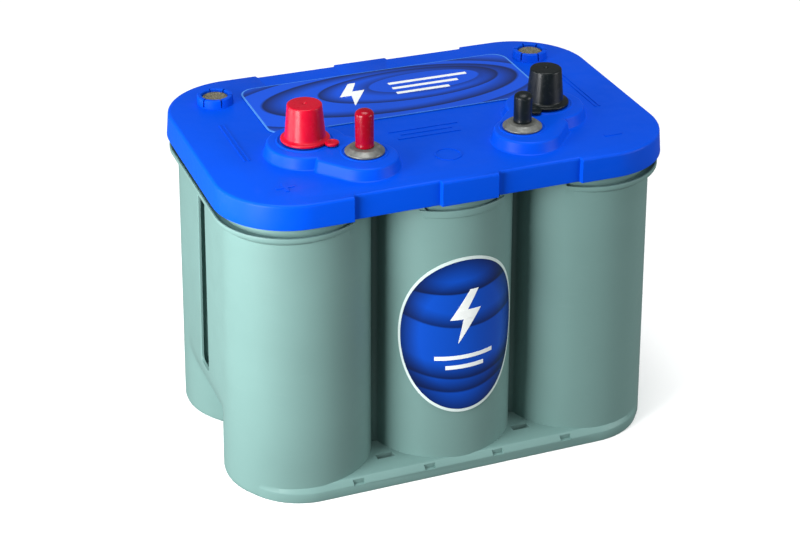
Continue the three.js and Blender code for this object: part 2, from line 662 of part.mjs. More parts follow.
for (const terminal of TERMINALS) {
  const { name, side, cap, vinyl } = terminal;
  place(`${name}_riser`, riser(side, RISERS[name]), lead);
  place(`${name}_post`, post(terminal), lead);
  place(`${name}_stud_base`, studBase(terminal), lead);
  place(`${name}_stud`, stud(terminal), steel);
  place(`${name}_post_seal`, seal(side * POST.x, POST.y, POST.shank), rubber);
  place(`${name}_stud_seal`, seal(side * STUD.x, STUD.y, STUD.shank), rubber);
  place(`${cap}_post_cap`, postCap(terminal), vinyl);
  place(`${cap}_stud_cover`, studCover(terminal), vinyl);
  place(side < 0 ? 'vent_disc_left' : 'vent_disc_right', ventDisc(side), porous);
}

place('lid_label', lidLabel(), labelFilm);
place('front_label', frontLabel(), labelFilm);

export default battery;
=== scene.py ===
"""Looks for the dual-terminal deep cycle battery. Lengths are in millimetres until a mesh is made."""
import json
import math

import bmesh
import bpy
import numpy as np
from mathutils import Matrix, Vector


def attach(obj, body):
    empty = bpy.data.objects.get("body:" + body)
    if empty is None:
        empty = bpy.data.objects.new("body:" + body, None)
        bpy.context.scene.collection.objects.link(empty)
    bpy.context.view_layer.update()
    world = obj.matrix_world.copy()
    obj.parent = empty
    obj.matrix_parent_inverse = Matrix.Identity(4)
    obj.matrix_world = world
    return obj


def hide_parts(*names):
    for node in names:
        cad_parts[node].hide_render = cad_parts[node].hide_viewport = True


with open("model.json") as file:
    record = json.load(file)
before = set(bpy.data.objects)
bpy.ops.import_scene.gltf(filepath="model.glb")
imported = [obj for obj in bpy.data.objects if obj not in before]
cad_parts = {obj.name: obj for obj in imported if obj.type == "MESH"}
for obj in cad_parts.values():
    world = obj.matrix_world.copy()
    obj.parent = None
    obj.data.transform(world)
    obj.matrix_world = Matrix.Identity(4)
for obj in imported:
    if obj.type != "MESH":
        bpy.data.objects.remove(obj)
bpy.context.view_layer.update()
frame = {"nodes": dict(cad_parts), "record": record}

MM = 0.001
BATTERY = "battery"

# ---------------------------------------------------------------- driving dimensions
PITCH = 82.5  # between the middles of neighbouring cells, both ways
ROW_Y = PITCH / 2
RADIUS_BASE, RADIUS_TOP = 41.6, 40.1
END_DRAFT, END_LEAN = 1.6, 2.6
GUTTER_Z, LIP_BOTTOM_Z, LIP_TOP_Z = 160.5, 158.3, 162.6
LIP_RADIUS, LIP_INSET, LIP_WIDTH = 41.2, 0.9, 0.9
GUTTER_FLOOR_Z = 161.3
LIP_FLARE_Z, LIP_FLARE, LIP_UPRIGHT_Z = 155.7, 5.4, 160.3
WALL_TOP_Z, NECK_TOP_Z, NECK_RADIUS = 167.7, 170.0, 38.4
BORE_RADIUS, BORE_FLOOR = 36.6, 4.0
VALLEY_FILLET = 2.1
WEB_FADE_Z, WEB_FADE_DEPTH, WEB_FADE_POWER = 46.0, 31.0, 1.8
POCKET_FOOT, POCKET_TOP = 18.5, 28  # half-lengths of the pocket in the middle of each long side
END_POCKET_FOOT, END_POCKET_TOP = 61, 57  # where the pockets at the ends begin
LEDGE_Y, LEDGE_TOP, LEDGE_BEVEL = 85.2, 9.0, 3.0
LEDGE_WRAP = 62.0  # degrees round each end cell's foot
NOTCH_X, NOTCH_HALF, NOTCH_DEPTH, NOTCH_FOOT = (-62.5, -20.5, 20.5, 62.5), 3.2, 2.2, 5.5
DRAIN_X, DRAIN_HALF, DRAIN_Y = (-PITCH / 2, PITCH / 2), 5, (65.4, 69.8)
CELL_INNER = 51.5  # half the width of the core inside the neck
LID_HALF_LENGTH, LID_HALF_WIDTH, LID_CORNER = 127.0, 85.5, 42.0
LID_DRAFT, LID_RECESS, LID_WALL = 1.3, 2.5, 2.9
LID_RIM_Z, LID_CEILING_Z, LID_TOP_Z = 168.0, 179.0, 182.0
RECESS_START, RECESS_END = 16.0, 63.6
PAD_TOP_Z = 188.5
POST_X, POST_Y, POST_HOLE = 69.5, -24.0, 8.4
STUD_X, STUD_Y, STUD_HOLE, STUD_RADIUS = 45.0, -48.8, 7.4, 3.97
PAD_LOBES = [(POST_X - 0.5, POST_Y - 1, 21.5), (STUD_X + 1.5, STUD_Y - 3.2, 18)]  # centre and radius
# The corners of the flat-sided block that joins a pad's two lobes, at positive x.
PAD_BLOCK = [(71, -50.5), (71, -40), (56, -16), (46, -26), (34, -40), (46.5, -52), (60.4, -63.4)]
POST_RIDGE, STUD_RIDGE = (14.2, 15.8, 0.5), (11.6, 12.8, 0.4)  # inner radius, outer radius and height
SEAT_Z, POST_TOP_Z, STUD_TOP_Z, STUD_SOCKET_Z = 191.8, 204.0, 205.8, 184.0
SHANK_FOOT_Z, SHOULDER_Z = 177.8, PAD_TOP_Z + 0.3
POST_SHANK, POST_TAPER = 8, 18  # the taper is 1 mm of radius in this many of height
STUD_SHANK, STUD_BASE_FOOT, STUD_BASE_SEAT = 7, 10.7, 8.0
THREAD_PITCH, THREAD_DEPTH = 25.4 / 18, 0.75
CAP_FOOT_Z, CAP_TOP_Z, CAP_FLANGE, CAP_WALL, CAP_TAPER = PAD_TOP_Z + 0.8, 209.6, 13.2, 0.6, 1.6
TAB_REACH, TAB_LOBE = 15.8, 3.8
SLEEVE_RADIUS, SLEEVE_DOME = 5, 3
VENT_X, VENT_Y, VENT_RING, VENT_DISC, VENT_TOP_Z, VENT_HOLE = 96.5, 55.5, 9.9, 7.1, 187.0, 3
FILM_GAP, FILM_THICKNESS = 0.3, 0.4
LID_LABEL_X, LID_LABEL_Y, LID_LABEL_HALF_SIZE, LID_LABEL_CORNER = 1, 33.5, (81.5, 32.5), 9.0
FRONT_LABEL_Z, FRONT_LABEL_HALF_HEIGHT, FRONT_LABEL_HALF_ANGLE = 86.5, 48, 52.8
TERMINALS = [  # name, colour, side of the middle, post's top radius, cap's tip radius and sleeve's length
    ("positive", "red", -1, 8.75, 9.3, 20.8),
    ("negative", "black", 1, 7.95, 8.6, 16.8),
]
CAMERA_PLACE = (-0.34729, -0.89490, 0.60626)  # in metres
CAMERA_ANGLES = (-20.842, 28.408, 0.083)  # azimuth, elevation and roll, in degrees
CAMERA_LENS = 85.19


# ---------------------------------------------------------------- camera
def make_camera():
    azimuth, elevation, roll = (math.radians(a) for a in CAMERA_ANGLES)
    back = Vector((math.sin(azimuth) * math.cos(elevation),
                   -math.cos(azimuth) * math.cos(elevation), math.sin(elevation)))
    level = Vector((0, 0, 1)).cross(back).normalized()
    upright = back.cross(level)
    right = math.cos(roll) * level + math.sin(roll) * upright
    up = math.cos(roll) * upright - math.sin(roll) * level
    data = bpy.data.cameras.new("camera")
    data.sensor_width = 36
    data.lens = CAMERA_LENS
    camera = bpy.data.objects.new("camera", data)
    bpy.context.scene.collection.objects.link(camera)
    rotation = Matrix((right, up, back)).transposed().to_4x4()
    camera.matrix_world = Matrix.Translation(CAMERA_PLACE) @ rotation
    bpy.context.scene.camera = camera


# ---------------------------------------------------------------- materials
def linear(red, green, blue):
    """An sRGB colour, 0 to 255, as a linear RGBA tuple."""
    def channel(value):
        value /= 255
        return value / 12.92 if value <= 0.04045 else ((value + 0.055) / 1.055) ** 2.4
    return (channel(red), channel(green), channel(blue), 1.0)


def shade(color, factor):
    return (*(min(1.0, c * factor) for c in color[:3]), 1.0)


class Nodes:
    """A material under construction, with a Principled shader at its end."""

    def __init__(self, name, roughness, metallic=0.0):
        self.material = bpy.data.materials.new(name)
        self.material.use_nodes = True
        self.tree = self.material.node_tree
        self.shader = self.tree.nodes["Principled BSDF"]
        self.shader.inputs["Roughness"].default_value = roughness
        self.shader.inputs["Metallic"].default_value = metallic
        self.position = self.add("ShaderNodeTexCoord").outputs["Object"]

    def add(self, kind, **values):
        node = self.tree.nodes.new(kind)
        for key, value in values.items():
            setattr(node, key, value)
        return node

    def link(self, source, target):
        self.tree.links.new(source, target)

    def noise(self, scale, detail=4.0, stretch=None):
        node = self.add("ShaderNodeTexNoise")
        node.inputs["Scale"].default_value = scale
        node.inputs["Detail"].default_value = detail
        source = self.position
        if stretch:
            mapping = self.add("ShaderNodeMapping")
            mapping.inputs["Scale"].default_value = stretch
            self.link(source, mapping.inputs["Vector"])
            source = mapping.outputs["Vector"]
        self.link(source, node.inputs["Vector"])
        return node.outputs["Fac"]

    def ramp(self, factor, stops):
        node = self.add("ShaderNodeValToRGB")
        elements = node.color_ramp.elements
        while len(elements) < len(stops):
            elements.new(0.5)
        for element, (place, color) in zip(elements, stops):
            element.position = place
            element.color = color
        self.link(factor, node.inputs["Fac"])
        return node.outputs["Color"]

    def remap(self, factor, low, high, start=0.35, end=0.65):
        node = self.add("ShaderNodeMapRange")
        node.inputs["From Min"].default_value = start
        node.inputs["From Max"].default_value = end
        node.inputs["To Min"].default_value = low
        node.inputs["To Max"].default_value = high
        self.link(factor, node.inputs["Value"])
        return node.outputs["Result"]

    def mix(self, factor, first, second):
        """A mix of two colours, whose inputs are sockets 6 and 7 and whose result is output 2."""
        node = self.add("ShaderNodeMix", data_type="RGBA")
        for value, socket in ((factor, 0), (first, 6), (second, 7)):
            if hasattr(value, "is_linked"):
                self.link(value, node.inputs[socket])
            else:
                node.inputs[socket].default_value = value
        return node.outputs[2]

    def product(self, first, second):
        node = self.add("ShaderNodeMath", operation="MULTIPLY")
        self.link(first, node.inputs[0])
        if hasattr(second, "is_linked"):
            self.link(second, node.inputs[1])
        else:
            node.inputs[1].default_value = second
        return node.outputs["Value"]

    def bump(self, height, strength, distance, under=None):
        node = self.add("ShaderNodeBump")
        node.inputs["Strength"].default_value = strength
        node.inputs["Distance"].default_value = distance
        self.link(height, node.inputs["Height"])
        if under:
            self.link(under, node.inputs["Normal"])
        return node.outputs["Normal"]

    def color(self, source):
        self.link(source, self.shader.inputs["Base Color"])

    def roughness(self, source):
        self.link(source, self.shader.inputs["Roughness"])

    def normal(self, source):
        self.link(source, self.shader.inputs["Normal"])


def moulded_plastic(name, color, roughness, scuffs=0.10, specular=0.5):
    """Injection-moulded plastic: a fine grain, slow shifts of colour and faint handling scuffs."""
    n = Nodes(name, roughness)
    n.shader.inputs["Specular IOR Level"].default_value = specular
    cloud = n.noise(14, 5)
    body = n.ramp(cloud, [(0.3, shade(color, 0.95)), (0.7, shade(color, 1.04))])
    scratch = n.noise(60, 7, stretch=(1.0, 1.0, 9.0))
    mask = n.remap(scratch, 0.0, scuffs, 0.62, 0.75)
    pale = tuple(0.75 * c + 0.25 for c in color[:3])
    n.color(n.mix(mask, body, (*pale, 1.0)))
    n.roughness(n.remap(n.noise(120, 5), roughness - 0.04, roughness + 0.06))
    flow = n.bump(n.noise(35, 2), 0.08, 0.0002)
    n.normal(n.bump(n.noise(2600, 2), 0.35, 0.00004, flow))
    return n.material


def soft_vinyl(name, color, roughness):
    """Dipped vinyl: glossy, with slow waves in its surface and a little dust."""
    n = Nodes(name, roughness)
    n.shader.inputs["Specular IOR Level"].default_value = 0.22
    n.shader.inputs["Coat Weight"].default_value = 0.06
    n.shader.inputs["Coat Roughness"].default_value = 0.2
    body = n.ramp(n.noise(90, 4), [(0.3, shade(color, 0.9)), (0.7, shade(color, 1.06))])
    dust = n.remap(n.noise(700, 6), 0.0, 0.08, 0.6, 0.78)
    n.color(n.mix(dust, body, linear(150, 150, 150)))
    n.roughness(n.remap(n.noise(300, 4), roughness - 0.05, roughness + 0.1))
    waves = n.bump(n.noise(160, 3), 0.25, 0.0003)
    n.normal(n.bump(n.noise(1800, 3), 0.2, 0.00004, waves))
    return n.material


def cast_lead(name):
    """Cast lead: dull grey with oxide blotches and pits."""
    n = Nodes(name, 0.45, 0.45)
    color = linear(116, 118, 114)
    body = n.ramp(n.noise(220, 8), [(0.3, shade(color, 0.62)), (0.55, color), (0.8, shade(color, 1.25))])
    oxide = n.remap(n.noise(480, 6), 0.0, 0.55, 0.52, 0.7)
    n.color(n.mix(oxide, body, linear(98, 100, 98)))
    n.roughness(n.remap(n.noise(400, 6), 0.32, 0.62))
    pits = n.bump(n.noise(900, 8), 0.5, 0.00012)
    n.normal(n.bump(n.noise(240, 4), 0.3, 0.0003, pits))
    return n.material


def stainless(name):
    n = Nodes(name, 0.25, 1.0)
    streaks = n.noise(900, 4, stretch=(1.0, 1.0, 0.1))
    n.color(n.ramp(streaks, [(0.3, linear(160, 160, 160)), (0.7, linear(205, 205, 203))]))
    n.roughness(n.remap(streaks, 0.18, 0.36))
    n.normal(n.bump(streaks, 0.15, 0.00004))
    return n.material


def sintered(name):
    """A porous disc: coarse pressed grains with dark pores."""
    n = Nodes(name, 0.95)
    cells = n.add("ShaderNodeTexVoronoi")
    cells.inputs["Scale"].default_value = 1500
    n.link(n.position, cells.inputs["Vector"])
    grains = cells.outputs["Distance"]
    dark, middle, pale = linear(52, 52, 42), linear(105, 102, 84), linear(160, 154, 128)
    speckle = n.ramp(n.noise(1300, 6), [(0.3, dark), (0.5, middle), (0.72, pale)])
    n.color(n.mix(n.remap(grains, 0.5, 0.0, 0.1, 0.6), speckle, linear(34, 34, 28)))
    n.normal(n.bump(grains, 0.9, 0.0003))
    return n.material


def matte_rubber(name):
    n = Nodes(name, 0.8)
    n.color(n.ramp(n.noise(300, 5), [(0.3, linear(18, 18, 18)), (0.7, linear(38, 38, 38))]))
    n.normal(n.bump(n.noise(1500, 4), 0.4, 0.00008))
    return n.material


def glass_mat(name):
    n = Nodes(name, 0.9)
    fibres = n.noise(900, 8, stretch=(1.0, 1.0, 6.0))
    n.color(n.ramp(fibres, [(0.3, linear(190, 184, 168)), (0.7, linear(226, 222, 210))]))
    n.normal(n.bump(fibres, 0.6, 0.0002))
    return n.material


def printed_film(name, deep, bright, crescents):
    """Printed label film: dark crescents, each sharp at an ellipse's edge and fading away from it.

    A crescent is (centre in mm, half-axes in mm, width, darkness); the width is a share of the ellipse,
    and a negative one fades inward."""
    n = Nodes(name, 0.28)
    n.shader.inputs["Specular IOR Level"].default_value = 0.3
    light = n.ramp(n.noise(9, 2), [(0.3, shade(bright, 0.86)), (0.7, bright)])
    for centre, axes, width, darkness in crescents:
        scale = [1 / (a * MM) for a in axes]
        shift = n.add("ShaderNodeMapping", vector_type="POINT")
        shift.inputs["Location"].default_value = tuple(-c * MM * k for c, k in zip(centre, scale))
        shift.inputs["Scale"].default_value = scale
        n.link(n.position, shift.inputs["Vector"])
        length = n.add("ShaderNodeVectorMath", operation="LENGTH")
        n.link(shift.outputs["Vector"], length.inputs[0])
        distance = length.outputs["Value"]
        crisp = 0.12 * width
        rise = n.remap(distance, 0.0, 1.0, 1 - crisp, 1.0)
        fall = n.remap(distance, 1.0, 0.0, 1.0, 1 + width)
        strength = n.product(n.product(rise, fall), darkness)
        light = n.mix(strength, light, deep)
    n.color(light)
    n.normal(n.bump(n.noise(500, 2), 0.08, 0.00005))
    return n.material


def print_ink(name, color):
    n = Nodes(name, 0.3)
    n.color(n.ramp(n.noise(240, 3), [(0.3, shade(color, 0.93)), (0.7, color)]))
    n.normal(n.bump(n.noise(900, 2), 0.1, 0.00003))
    return n.material


CASE_GREY = linear(108, 140, 136)
LID_BLUE = linear(0, 73, 206)
FLAT = 1e5  # a half-axis so long that the ellipse doesn't depend on that direction
LID_CRESCENTS = [
    ((2, 36, 0), (76, 30, FLAT), -0.22, 0.95), ((14, 40, 0), (54, 21, FLAT), -0.2, 0.9),
    ((-4, 34, 0), (92, 38, FLAT), 0.14, 0.8), ((24, 42, 0), (34, 13, FLAT), 0.3, 0.6),
]
FRONT_CRESCENTS = [
    ((-6, 0, 128), (44, FLAT, 15), -0.5, 0.9), ((4, 0, 118), (50, FLAT, 26), -0.3, 0.8),
    ((2, 0, 100), (60, FLAT, 40), -0.22, 0.85), ((-2, 0, 112), (64, FLAT, 60), -0.16, 0.85),
    ((0, 0, FRONT_LABEL_Z), (34, FLAT, 48.5), 2.4, 0.9),
]
MATERIALS = {
    "case": moulded_plastic("case_plastic", CASE_GREY, 0.42, scuffs=0.03, specular=0.2),
    "lid": moulded_plastic("lid_plastic", LID_BLUE, 0.4, scuffs=0.015, specular=0.08),
    "inner_cover": moulded_plastic("inner_plastic", linear(27, 47, 107), 0.5),
    "red_vinyl": soft_vinyl("red_vinyl", linear(186, 3, 37), 0.32),
    # A darker copy of the red vinyl for the red sleeve: its darker colour is painted shade, and the sleeve's
    # vinyl is the cap's.
    "red_sleeve": soft_vinyl("red_sleeve_vinyl", linear(142, 0, 24), 0.2),
    "black_vinyl": soft_vinyl("black_vinyl", linear(12, 20, 22), 0.34),
    "lead": cast_lead("cast_lead"),
    "steel": stainless("stainless"),
    "glass_mat": glass_mat("glass_mat"),
    "rubber": matte_rubber("rubber"),
    "porous": sintered("porous"),
    "lid_film": printed_film("lid_film", linear(2, 24, 72), linear(4, 80, 216), LID_CRESCENTS),
    "front_film": printed_film("front_film", linear(4, 16, 52), linear(7, 74, 186), FRONT_CRESCENTS),
    "white_ink": print_ink("white_ink", linear(240, 245, 243)),
    "pale_edge": print_ink("pale_edge", linear(72, 142, 228)),
    "pale_rim": print_ink("pale_rim", linear(206, 222, 219)),
}


# ---------------------------------------------------------------- meshes
def make_object(name, verts, faces, materials, marks=None, sharp=32):
    """A mesh object from points in millimetres; marks gives each face its material's number."""
    mesh = bpy.data.meshes.new(name)
    mesh.from_pydata([tuple(c * MM for c in v) for v in verts], [], faces)
    for key in materials:
        mesh.materials.append(MATERIALS[key])
    if marks:
        mesh.polygons.foreach_set("material_index", marks)
    mesh.validate()
    obj = bpy.data.objects.new(name, mesh)
    bpy.context.scene.collection.objects.link(obj)
    face_out(obj)
    smooth(obj, sharp)
    return obj


def face_out(obj):
    edit = bmesh.new()
    edit.from_mesh(obj.data)
    bmesh.ops.recalc_face_normals(edit, faces=edit.faces)
    edit.to_mesh(obj.data)
    edit.free()


def smooth(obj, sharp):
    mesh = obj.data
    mesh.polygons.foreach_set("use_smooth", [True] * len(mesh.polygons))
    mesh.set_sharp_from_angle(angle=math.radians(sharp))


def settle(obj, body, slot_name, *nodes):
    """Attaches a piece to its body and hides any CAD nodes it replaces; slot_name, the slot of its finish, is
    not used.
    """
    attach(obj, body)
    if nodes:
        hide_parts(*nodes)
    return obj


def combine(target, tools, operation="UNION"):
    """Joins the tools to the target, or cuts them from it, and removes them."""
    for tool in tools:
        modifier = target.modifiers.new("cut", "BOOLEAN")
        modifier.operation = operation
        modifier.solver = "MANIFOLD"
        modifier.object = tool
        graph = bpy.context.evaluated_depsgraph_get()
        result = bpy.data.meshes.new_from_object(target.evaluated_get(graph))
        target.modifiers.clear()
        old = target.data
        target.data = result
        bpy.data.meshes.remove(old)
        bpy.data.objects.remove(tool)
    return target


def arc(cx, cy, radius, start, end, steps):
    """Points on an arc, with angles in degrees."""
    angles = np.radians(np.linspace(start, end, steps + 1))
    return [(cx + radius * math.cos(a), cy + radius * math.sin(a)) for a in angles]


def circle(cx, cy, radius, steps):
    return arc(cx, cy, radius, 0, 360, steps)[:-1]


def rounded_rectangle(half_length, half_width, corner, steps):
    x, y = half_length - corner, half_width - corner
    points = []
    for sx, sy, start in ((1, 1, 0), (-1, 1, 90), (-1, -1, 180), (1, -1, 270)):
        points += arc(sx * x, sy * y, corner, start, start + 90, steps)
    return points


def four_quarters(quarter):
    """A closed plan from its quarter at positive x, which runs from the front to the middle of the end."""
    right = quarter + [(x, -y) for x, y in reversed(quarter)]
    left = [(-x, y) for x, y in reversed(right)]
    return right[:-1] + left[:-1]


def loft(name, levels, materials=("case",)):
    """A closed body through outlines with the same number of points, given as (points, z)."""
    count = len(levels[0][0])
    verts = [(x, y, z) for points, z in levels for x, y in points]
    faces = [tuple(reversed(range(count)))]
    for level in range(len(levels) - 1):
        low, high = level * count, (level + 1) * count
        for i in range(count):
            j = (i + 1) % count
            faces.append((low + i, low + j, high + j, high + i))
    faces.append(tuple(range((len(levels) - 1) * count, len(levels) * count)))
    return make_object(name, verts, faces, materials)


def prism(name, points, z0, z1, materials=("case",)):
    return loft(name, [(points, z0), (points, z1)], materials)


def box(name, x0, x1, y0, y1, z0, z1, materials=("case",)):
    return prism(name, [(x0, y0), (x1, y0), (x1, y1), (x0, y1)], z0, z1, materials)


def side_prism(name, points, y0, y1):
    """A prism of case plastic whose outline of (x, z) points lies in the XZ plane."""
    count = len(points)
    verts = [(x, y, z) for y in (y0, y1) for x, z in points]
    faces = [tuple(range(count)), tuple(reversed(range(count, 2 * count)))]
    faces += [(i, i + count, (i + 1) % count + count, (i + 1) % count) for i in range(count)]
    return make_object(name, verts, faces, ("case",))


def turned(name, x, y, profile, materials, segments=96):
    """A solid of revolution from (radius, z) points; a radius of 0 becomes one point on the axis."""
    verts, rows = [], []
    for radius, z in profile:
        if radius == 0:
            rows.append([len(verts)] * segments)
            verts.append((x, y, z))
            continue
        rows.append([len(verts) + i for i in range(segments)])
        for i in range(segments):
            a = 2 * math.pi * i / segments
            verts.append((x + radius * math.cos(a), y + radius * math.sin(a), z))
    closed = profile[0][0] != 0
    faces = []
    pairs = zip(rows, rows[1:] + ([rows[0]] if closed else []))
    for low, high in pairs:
        for i in range(segments):
            j = (i + 1) % segments
            face = tuple(dict.fromkeys((low[i], low[j], high[j], high[i])))
            if len(face) > 2:
                faces.append(face)
    return make_object(name, verts, faces, materials)


def rounded(corner_points, radius, steps=4):
    """A polyline of (radius, z) points with every corner between its two ends rounded off."""
    result = [corner_points[0]]
    for before, at, after in zip(corner_points, corner_points[1:], corner_points[2:]):
        a, b, c = (np.array(p, float) for p in (before, at, after))
        reach = min(radius, 0.45 * np.linalg.norm(a - b), 0.45 * np.linalg.norm(c - b))
        start = b + (a - b) / np.linalg.norm(a - b) * reach
        end = b + (c - b) / np.linalg.norm(c - b) * reach
        for t in np.linspace(0, 1, steps + 1):
            p = (1 - t) ** 2 * start + 2 * t * (1 - t) * b + t * t * end
            result.append((max(0.0, float(p[0])), float(p[1])))
    result.append(corner_points[-1])
    return result


# ---------------------------------------------------------------- case
def cell_radius(z):
    return RADIUS_BASE + (RADIUS_TOP - RADIUS_BASE) * z / GUTTER_Z


def end_centre(z):
    return PITCH + END_DRAFT - END_LEAN * z / GUTTER_Z


def soft_max(a, b, width):
    """The larger of two numbers, with the corner where they cross rounded over a width."""
    h = max(width - abs(a - b), 0) / width
    return max(a, b) + h * h * width / 4


def case_outline(radius, centre, end_x):
    """The plan of the six cells; end_x moves the points between the two cells of an end."""
    half = centre / 2
    fillet = VALLEY_FILLET
    drop = math.sqrt((radius + fillet) ** 2 - half ** 2)
    lean = math.degrees(math.atan2(drop, half))
    quarter = arc(0, -ROW_Y, radius, -90, -lean, 26)
    quarter += arc(half, -ROW_Y - drop, fillet, 180 - lean, lean, 10)[1:]
    quarter += arc(centre, -ROW_Y, radius, 180 + lean, 340, 50)[1:]
    quarter += arc(centre, -ROW_Y, radius, -20, 0, 10)[1:]
    short = 0.3  # the arc stops this far short of the middle, so that its mirror image doesn't touch it
    meet = math.degrees(math.asin(min(1.0, (ROW_Y - short) / radius)))
    quarter += [(end_x(x), y) for x, y in arc(centre, -ROW_Y, radius, 0, meet, 44)[1:]]
    return four_quarters(quarter)


def web_face(z):
    """How far out the flat web between an end's two cells stands."""
    return end_centre(z) + cell_radius(z)


def wall_outline(z):
    """The case's plan at a height. Towards the foot the web fades inward, and its corners grow softer."""
    centre, radius = end_centre(z), cell_radius(z)
    fade = WEB_FADE_DEPTH * max(0.0, (WEB_FADE_Z - z) / WEB_FADE_Z) ** WEB_FADE_POWER
    web = web_face(z) - fade
    crisp, soft, softening = 0.01, 0.6, 0.15
    blend = min(crisp + fade, soft + softening * fade)
    return case_outline(radius, centre, lambda x: soft_max(x, web, blend))


def lip_end(sign, inset):
    """The lip's plan at one end: parallel to the lid's rim, and `inset` inside the lip's own edge."""
    x, y = LID_HALF_LENGTH - LID_CORNER, LID_HALF_WIDTH - LID_CORNER - LIP_INSET
    radius = LID_CORNER - LIP_INSET - inset
    points = arc(x, -y, radius, -180, 0, 48) + arc(x, y, radius, 0, 180, 48)
    return [(sign * px, py) for px, py in points]


def lip_body(inset, middle, end):
    """The lip, or the gutter inside it, round the ends and the middle cells; a profile is (how far in, z)."""
    parts = [loft("lip_end", [(lip_end(sign, inset + depth), z) for depth, z in end]) for sign in (-1, 1)]
    for side in (-1, 1):
        levels = [(circle(0, side * ROW_Y, LIP_RADIUS - inset - depth, 96), z) for depth, z in middle]
        parts.append(loft("lip_middle", levels))
    return combine(parts[0], parts[1:])


def pocket_zones(name, widen, z0):
    """Where the case's top is cut back below the lid: the middle of the long sides and both ends."""
    top = WALL_TOP_Z + 3
    past_end, past_side = 140, 100
    low, high = POCKET_FOOT + widen, POCKET_TOP + widen
    middle = side_prism(name, [(-low, z0), (low, z0), (high, top), (-high, top)], -past_side, past_side)
    low, high = END_POCKET_FOOT - widen, END_POCKET_TOP - widen
    ends = []
    for sign in (-1, 1):
        outline = [(sign * low, z0), (sign * past_end, z0), (sign * past_end, top), (sign * high, top)]
        ends.append(side_prism("end", outline, -past_side, past_side))
    return combine(middle, ends)


def ledge_plan(side, inset):
    """The ledge's outline: straight along the cells, then round each end cell's foot until it runs out."""
    reach = LEDGE_Y - ROW_Y
    tuck, power = 1.2, 1.6  # it runs out this deep in the cell's foot, slowly at first
    points = []
    for degrees in np.linspace(0, LEDGE_WRAP, 19):
        fade = (degrees / LEDGE_WRAP) ** power
        radius = reach - inset + (RADIUS_BASE - tuck - reach + inset) * fade
        a = math.radians(degrees)
        points.append((end_centre(0) + radius * math.sin(a), ROW_Y + radius * math.cos(a)))
    half = points + [(PITCH, CELL_INNER)]
    outline = [(-x, y) for x, y in reversed(half)] + half
    return [(x, side * y) for x, y in outline]


def ledge(side):
    """The hold-down ledge along one foot, with notches in its edge and two drain holes."""
    bevel, top = LEDGE_BEVEL, LEDGE_TOP
    profile = [(0.5, 0.0), (0.1, 0.25), (0.0, 0.8), (0.0, top - bevel - 0.3), (0.25, top - bevel + 0.3),
               (bevel - 0.5, top - 0.45), (bevel + 0.1, top - 0.1), (bevel + 0.9, top)]
    bar = loft("ledge", [(ledge_plan(side, inset), z) for inset, z in profile])
    low, high = sorted((side * (LEDGE_Y - NOTCH_DEPTH), side * (LEDGE_Y + 1)))
    notches = [box("notch", x - NOTCH_HALF, x + NOTCH_HALF, low, high, NOTCH_FOOT, top + 1) for x in NOTCH_X]
    low, high = sorted(side * y for y in DRAIN_Y)
    drains = [box("drain", x - DRAIN_HALF, x + DRAIN_HALF, low, high, -1, top + 1) for x in DRAIN_X]
    return combine(bar, notches + drains, "DIFFERENCE")


def end_slot(sign):
    """The upright slot in an end web: a soft-edged mouth through its thin wall and a space behind that."""
    foot, middle, top, depth = 47.0, 100, 153.5, 13.0
    wall, edge, past = 1.6, 0.5, 3
    foot_half, taper, space_half = 7.8, 1.1, 10.5
    back = web_face(top) - depth
    mouth, space = [], []
    round_foot = [(foot, 0.70), (foot + 0.6, 0.86), (foot + 1.6, 0.95), (foot + 3, 1.0)]
    for z, narrow in (*round_foot, (middle, 1.0), (top, 1.0)):
        half = (foot_half - taper * (z - foot) / (top - foot)) * narrow
        face, flare = web_face(z), half + edge + past
        outline = [(back, -half), (face - edge, -half), (face + past, -flare),
                   (face + past, flare), (face - edge, half), (back, half)]
        mouth.append(([(sign * x, y) for x, y in outline], z))
    for z in (foot - 4, foot + 1, middle, top):
        face = web_face(z) - wall
        outline = [(back, -space_half), (face, -space_half), (face, space_half), (back, space_half)]
        space.append(([(sign * x, y) for x, y in outline], z))
    return combine(loft("slot_mouth", mouth), [loft("slot_space", space)])


def case_wall():
    """The case's outside up to the lid, with its foot's edge rounded; rows are closer where the web fades."""
    foot_round = {0.0: 0.7, 0.35: 0.2}
    rough_half_length, rough_half_width = 120, 80
    levels = []
    for z in (*foot_round, 1.0, *range(3, 45, 3), 46, 52, 60, 80, 100, 120, 140, 155, WALL_TOP_Z):
        inset = foot_round.get(z, 0.0)
        along, across = 1 - inset / rough_half_length, 1 - inset / rough_half_width
        levels.append(([(x * along, y * across) for x, y in wall_outline(z)], z))
    return loft("case_moulding", levels)


